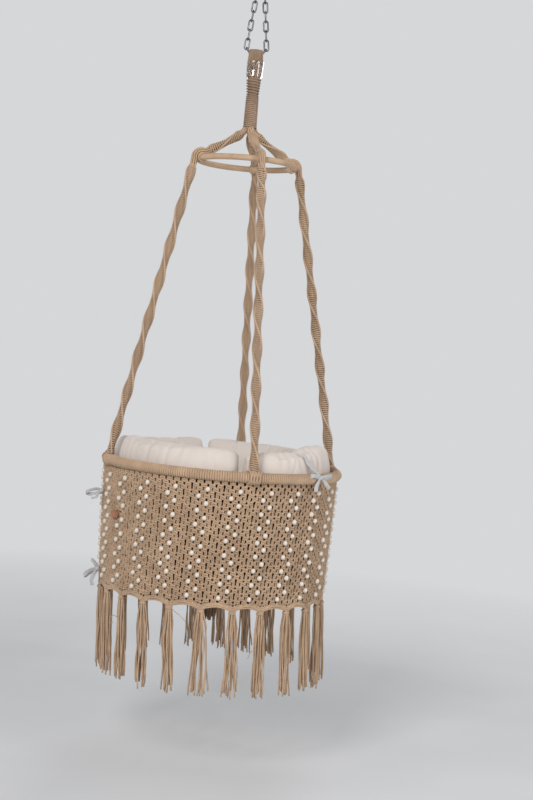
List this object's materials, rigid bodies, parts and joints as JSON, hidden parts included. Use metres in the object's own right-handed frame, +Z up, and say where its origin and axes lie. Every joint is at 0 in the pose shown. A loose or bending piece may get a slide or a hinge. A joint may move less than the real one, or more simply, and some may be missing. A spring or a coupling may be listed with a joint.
{
  "type": "hanging baby cradle",
  "caption": "Round macrame baby cradle with bumper cushions and a tasselled hem, hung by knotted strands, a spreader ring and a chain from a ceiling hook.",
  "frame": {"origin": "middle of the ceiling plate's upper face", "axes": "+Z up along the line of hang, +X to the right in the picture, the front faces -Y"},
  "size_m": [0.6062, 0.6136, 1.8547],
  "materials": {
    "steel": "dark zinc-plated steel wire",
    "rope": "twisted tan rope",
    "cord": "matt tan macrame cord",
    "cane": "varnished orange-brown cane",
    "cotton": "warm off-white cotton",
    "ribbon": "light grey-white cotton tape",
    "film": "clear glossy film"
  },
  "bodies": {
    "hook": {"ceiling_hook": "steel"},
    "ring": {"hanging_ring": "steel"},
    "chain": {"chain_left_1": "steel", "chain_left_2": "steel", "chain_left_3": "steel", "chain_left_4": "steel", "chain_left_5": "steel", "chain_left_6": "steel", "chain_left_7": "steel", "chain_left_8": "steel", "chain_right_1": "steel", "chain_right_2": "steel", "chain_right_3": "steel", "chain_right_4": "steel", "chain_right_5": "steel", "chain_right_6": "steel", "chain_right_7": "steel", "chain_right_8": "steel", "saddle_left": "steel", "saddle_right": "steel"},
    "saddle": {"saddle_middle": "steel"},
    "neck": {"rope_eye": "rope", "clear_sleeve": "film", "upper_binding": "cord", "lower_binding": "cord"},
    "cradle": {"spreader_ring": "cord", "strand_front": "cord", "strand_right": "cord", "strand_rear": "cord", "strand_left": "cord", "spreader_hitch_front": "cord", "spreader_hitch_right": "cord", "spreader_hitch_rear": "cord", "spreader_hitch_left": "cord", "rim_hitch_front": "cord", "rim_hitch_right": "cord", "rim_hitch_rear": "cord", "rim_hitch_left": "cord", "rim_hoop": "cane", "rim_wrap": "cord", "basket_wall": "cord", "base_hoop": "cane", "base_net": "cord", "centre_tuft": "rope", "fringe_front": "cord", "fringe_right": "cord", "fringe_rear": "cord", "fringe_left": "cord", "mattress": "cotton", "bumper_front": "cotton", "bumper_right": "cotton", "bumper_rear": "cotton", "bumper_left": "cotton", "wooden_button": "cane", "tie_right": "ribbon", "tie_left_upper": "ribbon", "tie_left_lower": "ribbon"}
  },
  "joints": [
    {"name": "swing_sideways", "type": "hinge", "parent": "hook", "child": "ring", "pos_m": [0, 0, -0.062], "axis": [0, 1, 0], "range_deg": [-25, 25]},
    {"name": "swing_fore_aft", "type": "hinge", "parent": "ring", "child": "chain", "pos_m": [0, 0, -0.10076], "axis": [1, 0, 0], "range_deg": [-25, 25]},
    {"name": "eye_rock", "type": "hinge", "parent": "chain", "child": "saddle", "pos_m": [0, 0, -0.30536], "axis": [1, 0, 0], "range_deg": [-8, 8]},
    {"name": "eye_lean", "type": "hinge", "parent": "saddle", "child": "neck", "pos_m": [0, 0, -0.30536], "axis": [0, 1, 0], "range_deg": [-6, 6]},
    {"name": "cradle_turn", "type": "hinge", "parent": "neck", "child": "cradle", "pos_m": [0, 0, -0.48336], "axis": [0, 0, 1], "range_deg": [-45, 45]}
  ]
}
